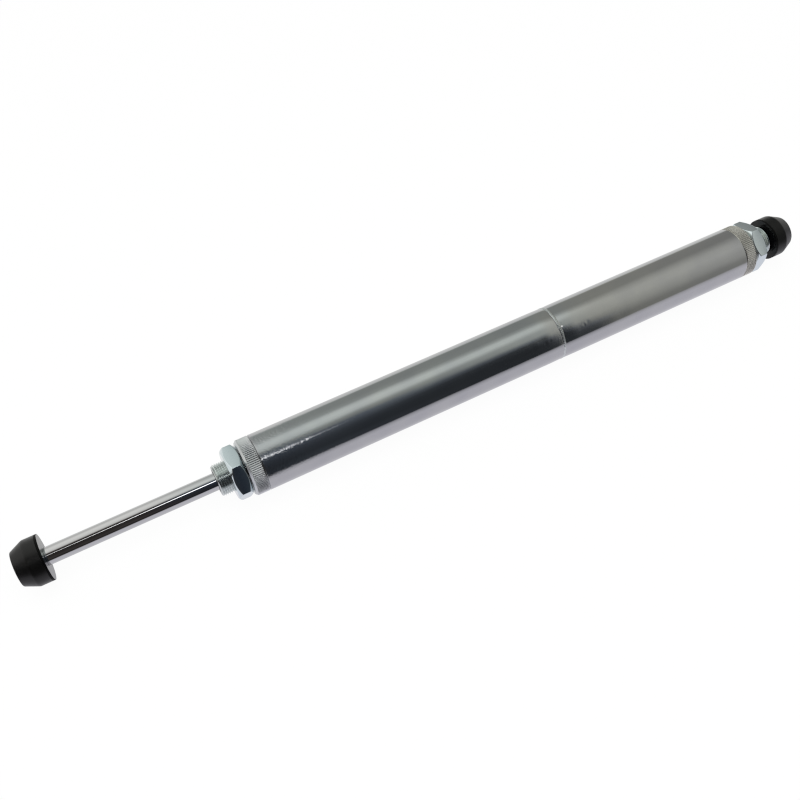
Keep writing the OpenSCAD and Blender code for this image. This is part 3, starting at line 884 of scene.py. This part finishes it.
# %% [markdown]
# ## Rubber and blackened steel
# Moulded rubber is near black and takes up light, but the mould leaves a satin skin that
# shows a broad, weak sheen. Grime and bloom make some places greyer than others, so both
# the colour and the roughness drift. The plates are turned, phosphated black and oiled:
# dark from straight on, and almost a mirror at a grazing angle, as all oiled skins are.
# Their turning marks are rings: noise that is read at (distance along the axis, distance
# from the axis) doesn't change round them.

# %% The buffers' materials
BLOOM_MM, BLOOM_DETAIL = 6, 4.0
MOULD_GRAIN_MM = 0.35
RING_MARK_MM = 0.3


def dark_skin(name, light, dark, rough_low, rough_high, ior, bump_height, relief_um):
    """A black, non-metal skin whose colour and roughness drift over some millimetres."""
    material, tree, surface = new_material(name)
    place = add_node(tree, "ShaderNodeTexCoord").outputs["Object"]
    bloom = add_node(tree, "ShaderNodeTexNoise", {"Vector": place, "Scale": METRE / BLOOM_MM,
                                                  "Detail": BLOOM_DETAIL})
    set_inputs(tree, surface, {"IOR": ior})
    tint_and_raise(tree, surface, bloom, light, dark, bump_height(tree, place), relief_um)
    vary_roughness(tree, surface, bloom, rough_low, rough_high)
    return material


def mould_grain(tree, place):
    return add_node(tree, "ShaderNodeTexNoise", {"Vector": place, "Scale": METRE / MOULD_GRAIN_MM})


def turning_rings(tree, place):
    along = add_node(tree, "ShaderNodeSeparateXYZ", {"Vector": place}).outputs["X"]
    polar = add_node(tree, "ShaderNodeCombineXYZ", {"X": along, "Y": from_axis(tree, place)})
    return add_node(tree, "ShaderNodeTexNoise", {"Vector": polar, "Scale": METRE / RING_MARK_MM})


black_rubber = dark_skin("moulded_rubber_black", "#0a0a09", "#040404", 0.30, 0.40, 1.40,
                         mould_grain, 6)
rubber_edge = dark_skin("rubber_skin_on_plate_rim", "#070707", "#040404", 0.50, 0.60, 1.2,
                        mould_grain, 6)
black_steel = dark_skin("phosphated_steel_black", "#101012", "#09090b", 0.14, 0.20, 1.3,
                        turning_rings, 4)


# %% Make both buffers
def on_left_end(bm):
    bmesh.ops.scale(bm, vec=(-1, 1, 1), verts=bm.verts[:])
    bmesh.ops.translate(bm, vec=(LEFT_PLATE_X, 0, 0), verts=bm.verts[:])
    return bm


def on_right_end(bm):
    bmesh.ops.translate(bm, vec=(RIGHT_PLATE_X, 0, 0), verts=bm.verts[:])
    return bm


finish_piece(on_left_end(plate()), "left_plate", "rod", "left_buffer_plate",
             [black_steel, rubber_edge])
finish_piece(on_right_end(plate()), "right_plate", "rod", "right_buffer_plate",
             [black_steel, rubber_edge])
finish_piece(on_left_end(rubber()), "left_rubber", "rod", "left_buffer", black_rubber)
finish_piece(on_right_end(rubber()), "right_rubber", "rod", "right_buffer", black_rubber)

# %% [markdown]
# ## Pieces inside
# The guides, seals, clips, bulkhead and piston keep their CAD shapes, which are exact, and
# get real materials. Only the wipers, the black rings round the rod, show from outside,
# but a part that is taken apart should look right too.

# %% Materials of the inner pieces
MACHINED = dict(roughness=0.28, spread=0.06, grain_mm=0.25, relief_um=1.5, stretch=(3, 0.5, 0.5))

bronze, _, _ = metal("sintered_bronze", "#c49a5c", "#a87c45", 0.38, 0.08, 0.2, 3.0)
turned_steel, _, _ = metal("turned_steel", "#b9babc", "#acadb0", **MACHINED)
aluminium, _, _ = metal("machined_aluminium", "#d0d2d4", "#c4c6c9", **MACHINED)
spring, _, _ = metal("spring_steel_black_oiled", "#5a5c60", "#45474b", 0.34, 0.08, 0.3, 1.5)


def plastic(name, light, dark, roughness, grain_mm, relief_um):
    material, tree, surface = new_material(name)
    place = add_node(tree, "ShaderNodeTexCoord").outputs["Object"]
    grain = add_node(tree, "ShaderNodeTexNoise", {"Vector": place, "Scale": METRE / grain_mm,
                                                  "Detail": GRAIN_DETAIL})
    set_inputs(tree, surface, {"Roughness": roughness})
    tint_and_raise(tree, surface, grain, light, dark, grain, relief_um)
    return material


seal_rubber = plastic("nitrile_rubber", "#1c1c1c", "#101011", 0.4, 0.6, 3)
guide_plastic = plastic("guide_plastic_unfilled", "#e8e4d8", "#dcd8ca", 0.42, 0.8, 2)

INNER_FINISHES = [
    (bronze, ["left_guide_bush", "right_guide_bush", "bulkhead_bush"]),
    (turned_steel, ["bulkhead"]),
    (aluminium, ["piston"]),
    (spring, ["left_seal_clip", "bulkhead_seal_clip", "bulkhead_clip", "left_piston_clip",
              "right_piston_clip"]),
    (seal_rubber, ["left_wiper", "right_wiper", "left_rod_seal", "bulkhead_rod_seal",
                   "left_cap_o_ring", "right_cap_o_ring", "bulkhead_o_ring", "piston_seal_ring"]),
    (guide_plastic, ["piston_guide_band"]),
]
for material, nodes in INNER_FINISHES:
    for node in nodes:
        for material_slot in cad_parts[node].material_slots:
            material_slot.material = material
    print(material.name, "on", len(nodes), "inner pieces")

# %% [markdown]
# ## The studio as the metal sees it
# A polished cylinder is a picture of the room, squeezed into stripes. So the room matters
# more than the lamps: a white card to the back left, a soft box overhead, a grey wall
# behind, a lit room to the right, and the dark room behind the camera. They are drawn in
# the world by direction. Around the damper's axis the angle runs from 0 (level, behind)
# over 90 (straight up) to 180 (level, on the camera's side). Along the axis the picture
# changes in columns, from the left, where the card stands, to the right, where it is gone.
# Each column gives its lean to the right, the tints of its light and its dark places, and
# a list of (angle, brightness). The world blends from column to column.

# %% Columns of the studio
DARK_BELOW = 0.25
RAMP_START, RAMP_END = -90, 270
DIM_CORNER = ("#fffffa", "#f4f8ff",
              [(-30, .8), (-10, .3), (2, .12), (62, .14), (104, .16), (148, .12), (180, .1)])
STUDIO = [
    (-0.03, "#fffefb", "#fff0ee",
     [(-30, 1.1), (-12, .84), (2, .70), (16, .78), (38, 1.04), (52, 1.05), (76, .9), (84, .68),
      (91, .2), (97, .05), (132, .035), (162, .06), (176, .03)]),
    (0.07, "#f9fffc", "#b8d4ff",
     [(-30, 1.03), (-10, .72), (2, .5), (28, .59), (43, .68), (50, .78), (57, .92), (68, .94),
      (82, .78), (92, .34), (98, .24), (110, .15), (124, .08), (140, .05), (150, .034),
      (162, .027), (176, .027)]),
    (0.12, "#f6fffc", "#dcebff",
     [(-30, 1.0), (-10, .66), (2, .40), (28, .42), (43, .50), (50, .64), (57, .88), (68, .94),
      (82, .8), (92, .42), (98, .33), (110, .2), (124, .115), (140, .08), (162, .062),
      (176, .085)]),
    (0.22, "#f9fffa", "#dfedff",
     [(-30, 1.0), (-10, .64), (2, .38), (30, .40), (46, .48), (58, .84), (68, .93), (80, .84),
      (92, .46), (98, .36), (108, .2), (119, .135), (131, .078), (144, .056), (162, .05),
      (176, .062)]),
    (0.35, "#f8fffa", "#e6f2ff",
     [(-30, 1.0), (-10, .64), (2, .36), (44, .38), (56, .52), (68, .86), (80, .87), (94, .52),
      (107, .42), (119, .16), (130, .06), (144, .045), (176, .045)]),
    (0.395, "#f8fffa", "#e6f2ff",
     [(-30, 1.0), (-10, .64), (2, .36), (44, .38), (56, .53), (68, .86), (78, .87), (94, .58),
      (110, .50), (121, .22), (128, .065), (144, .042), (158, .036), (176, .045)]),
    (0.43, "#fcfff6", "#e9f3ff",
     [(-30, 1.0), (-10, .64), (2, .37), (48, .38), (60, .52), (74, .77), (88, .70), (104, .60),
      (124, .50), (137, .24), (147, .09), (176, .06)]),
    (0.455, "#fffff4", "#eef5ff",
     [(-30, 1.0), (-10, .62), (2, .36), (50, .37), (62, .48), (78, .70), (92, .66), (122, .54),
      (138, .40), (152, .24), (164, .12), (176, .09)]),
    (0.48, "#fffff5", "#fafcff",
     [(-30, 1.0), (-10, .6), (2, .35), (50, .37), (66, .52), (88, .66), (112, .62), (136, .50),
      (156, .38), (170, .30), (180, .29)]),
    (0.585, "#fffffa", "#f4f8ff",
     [(-30, 1.0), (-10, .58), (2, .32), (46, .32), (62, .42), (80, .57), (104, .64), (128, .56),
      (148, .49), (166, .36), (180, .33)]),
    (0.66, *DIM_CORNER),
    (0.72, *DIM_CORNER),
    (0.84, "#fffffa", "#f4f8ff",
     [(-30, .8), (-10, .5), (10, .6), (100, .6), (125, .2), (180, .15)]),
]


def place_in_ramp(degrees):
    return (degrees - RAMP_START) / (RAMP_END - RAMP_START)


def column_ramp(tree, angle, light, dark, stops):
    ramp = add_node(tree, "ShaderNodeValToRGB", {"Fac": angle})
    elements = ramp.color_ramp.elements
    elements.remove(elements[1])
    for number, (degrees, brightness) in enumerate(stops):
        element = elements.new(place_in_ramp(degrees)) if number else elements[0]
        tint = linear(light if brightness > DARK_BELOW else dark)
        element.position = place_in_ramp(degrees)
        element.color = tuple(c * brightness for c in tint[:3]) + (1,)
    return ramp


# %% [markdown]
# ## World shader
# The direction of a ray gives both numbers: its angle round the axis, from the arctangent
# of Z over Y, and how far it leans along X. A slim strip lamp beside the camera is added on
# top: it draws the white line on the rod and on the first part of the tube. Rays that come
# straight from the camera see plain white instead, so that the damper stands on a clean
# page.

# %% Build the world
STRIP_MIDDLE, STRIP_POWER = 112.0, 3.6
STRIP_EDGE = 0.7
# half the strip's width in degrees, at each lean along X
STRIP_HALF_WIDTHS = [(-0.10, 0.8), (-0.04, 1.4), (0.0, 2.4), (0.035, 3.5), (0.07, 2.4), (0.10, 0.9),
                     (0.125, 0.4), (0.155, 0.05), (0.19, -0.8)]
PAGE_WHITE = (1, 1, 1, 1)


def blend_steps(tree, value, steps):
    """A number that follows (place, number) steps in straight lines, as a sum of ranges."""
    start, level = steps[0]
    total = level
    for place, number in steps[1:]:
        rise = add_node(tree, "ShaderNodeMapRange", {
            "Value": value, "From Min": start, "From Max": place, "To Max": number - level})
        total = add_node(tree, "ShaderNodeMath", {0: total, 1: rise}, operation="ADD")
        start, level = place, number
    return total


def strip_lamp(tree, degrees, lean):
    """Brightness of the strip lamp in a direction: a bar that narrows to both ends."""
    half = blend_steps(tree, lean, STRIP_HALF_WIDTHS)
    off = add_node(tree, "ShaderNodeMath", {0: degrees, 1: STRIP_MIDDLE}, operation="SUBTRACT")
    away = add_node(tree, "ShaderNodeMath", {0: off}, operation="ABSOLUTE")
    inside = add_node(tree, "ShaderNodeMath", {0: half, 1: away}, operation="SUBTRACT")
    return add_node(tree, "ShaderNodeMapRange", {
        "Value": inside, "From Min": -STRIP_EDGE, "From Max": STRIP_EDGE, "To Max": STRIP_POWER})


def all_columns(tree, angle, lean):
    """The studio's columns, blended from one to the next along the lean."""
    seen = column_ramp(tree, angle, *STUDIO[0][1:])
    for (left, *_), (right, *column) in zip(STUDIO, STUDIO[1:]):
        share = add_node(tree, "ShaderNodeMapRange", {"Value": lean, "From Min": left,
                                                      "From Max": right})
        ramp = column_ramp(tree, angle, *column)
        seen = add_node(tree, "ShaderNodeMix", {0: share, 6: seen, 7: ramp}, data_type="RGBA")
    return seen


def build_world():
    world = bpy.data.worlds.new("studio")
    world.use_nodes = True
    tree = world.node_tree
    tree.nodes.clear()
    ray = add_node(tree, "ShaderNodeTexCoord").outputs["Generated"]
    axes = add_node(tree, "ShaderNodeSeparateXYZ", {"Vector": ray}).outputs
    front = add_node(tree, "ShaderNodeMath", {0: axes["Y"], 1: -1.0}, operation="MULTIPLY")
    turn = add_node(tree, "ShaderNodeMath", {0: front, 1: axes["Z"]}, operation="ARCTAN2")
    full_turn = {"Value": turn, "From Min": -math.pi, "From Max": math.pi}
    degrees = add_node(tree, "ShaderNodeMapRange", {**full_turn, "To Min": RAMP_START,
                                                    "To Max": RAMP_END})
    angle = add_node(tree, "ShaderNodeMapRange", full_turn)
    room = all_columns(tree, angle, axes["X"])
    lamp = strip_lamp(tree, degrees, axes["X"])
    studio = add_node(tree, "ShaderNodeMix", {0: 1.0, 6: room, 7: lamp}, data_type="RGBA",
                      blend_type="ADD")
    camera_ray = add_node(tree, "ShaderNodeLightPath").outputs["Is Camera Ray"]
    colour = add_node(tree, "ShaderNodeMix", {0: camera_ray, 6: studio, 7: PAGE_WHITE},
                      data_type="RGBA")
    background = add_node(tree, "ShaderNodeBackground", {"Color": colour, "Strength": 1.0})
    add_node(tree, "ShaderNodeOutputWorld", {"Surface": background})
    bpy.context.scene.world = world


build_world()
print("world with", len(STUDIO), "columns")

# %% [markdown]
# ## Floor and lamp
# The damper lies on a white sheet. The camera sees the sheet as white paper with a faint
# shadow: mostly a glow of strength 1, and a share of plain diffuse white that the shadow
# can darken. The metal sees it a little darker, and slightly violet on the camera's side.
# For the metal the sheet also ends: it fades out in front of the damper and behind it, and
# lets the room show, which is why the dark stripe starts just above the pale one.

# %% Make the floor and the lamp
FLOOR_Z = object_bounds()[0].z
FLOOR_SIZE, FLOOR_MIDDLE_X = 3, 0.1
SHEET_STEPS = [(-0.20, 0.0), (-0.105, 0.6), (-0.045, 1.0), (0.08, 1.0), (0.42, 0.0)]
SHEET_FRONT, SHEET_BACK = "#e2e0e8", "#efefee"
TINT_BLEND = 0.02
DIFFUSE_SHARE = 0.045
LAMP_PLACE = Vector((0, -0.2, 1.2))
LAMP_SIZE, LAMP_WATTS = 1.2, 12.0


def floor_material():
    material, tree, surface = new_material("white_paper_sheet")
    tree.nodes.remove(surface)
    place = add_node(tree, "ShaderNodeNewGeometry").outputs["Position"]
    depth = add_node(tree, "ShaderNodeSeparateXYZ", {"Vector": place}).outputs["Y"]
    on_sheet = blend_steps(tree, depth, SHEET_STEPS)
    behind = add_node(tree, "ShaderNodeMapRange", {"Value": depth, "From Min": -TINT_BLEND,
                                                   "From Max": TINT_BLEND})
    mirrored = add_node(tree, "ShaderNodeMix", {
        0: behind, 6: linear(SHEET_FRONT), 7: linear(SHEET_BACK)}, data_type="RGBA")
    camera_ray = add_node(tree, "ShaderNodeLightPath").outputs["Is Camera Ray"]
    paper = add_node(tree, "ShaderNodeMix", {0: camera_ray, 6: mirrored, 7: PAGE_WHITE},
                     data_type="RGBA")
    glow = add_node(tree, "ShaderNodeEmission", {"Color": paper})
    lit = add_node(tree, "ShaderNodeBsdfDiffuse", {"Color": paper})
    sheet = add_node(tree, "ShaderNodeMixShader", {0: DIFFUSE_SHARE, 1: glow, 2: lit})
    solid = add_node(tree, "ShaderNodeMath", {0: camera_ray, 1: on_sheet}, operation="MAXIMUM")
    room = add_node(tree, "ShaderNodeBsdfTransparent")
    both = add_node(tree, "ShaderNodeMixShader", {0: solid, 1: room, 2: sheet})
    output = next(n for n in tree.nodes if n.type == "OUTPUT_MATERIAL")
    set_inputs(tree, output, {"Surface": both})
    return material


def add_floor():
    bm = bmesh.new()
    bmesh.ops.create_grid(bm, x_segments=1, y_segments=1, size=FLOOR_SIZE)
    bmesh.ops.translate(bm, vec=(FLOOR_MIDDLE_X, 0, FLOOR_Z), verts=bm.verts[:])
    mesh = bpy.data.meshes.new("floor")
    bm.to_mesh(mesh)
    bm.free()
    mesh.materials.append(floor_material())
    floor = bpy.data.objects.new("floor", mesh)
    bpy.context.scene.collection.objects.link(floor)


def add_lamp():
    """A large soft lamp overhead for everything that isn't a mirror; the metal doesn't see it."""
    data = bpy.data.lights.new("overhead", "AREA")
    data.shape = "SQUARE"
    data.size = LAMP_SIZE
    data.energy = LAMP_WATTS
    lamp = bpy.data.objects.new("overhead", data)
    lamp.location = LAMP_PLACE
    lamp.rotation_euler = LAMP_PLACE.to_track_quat("Z", "Y").to_euler()
    lamp.visible_glossy = False
    bpy.context.scene.collection.objects.link(lamp)


add_floor()
add_lamp()
bpy.context.scene.view_settings.view_transform = "Standard"
bpy.context.scene.cycles.filter_width = 1.25
print(f"floor at {FLOOR_Z / MM:.2f} mm, lamp at {LAMP_PLACE.z:.1f} m")
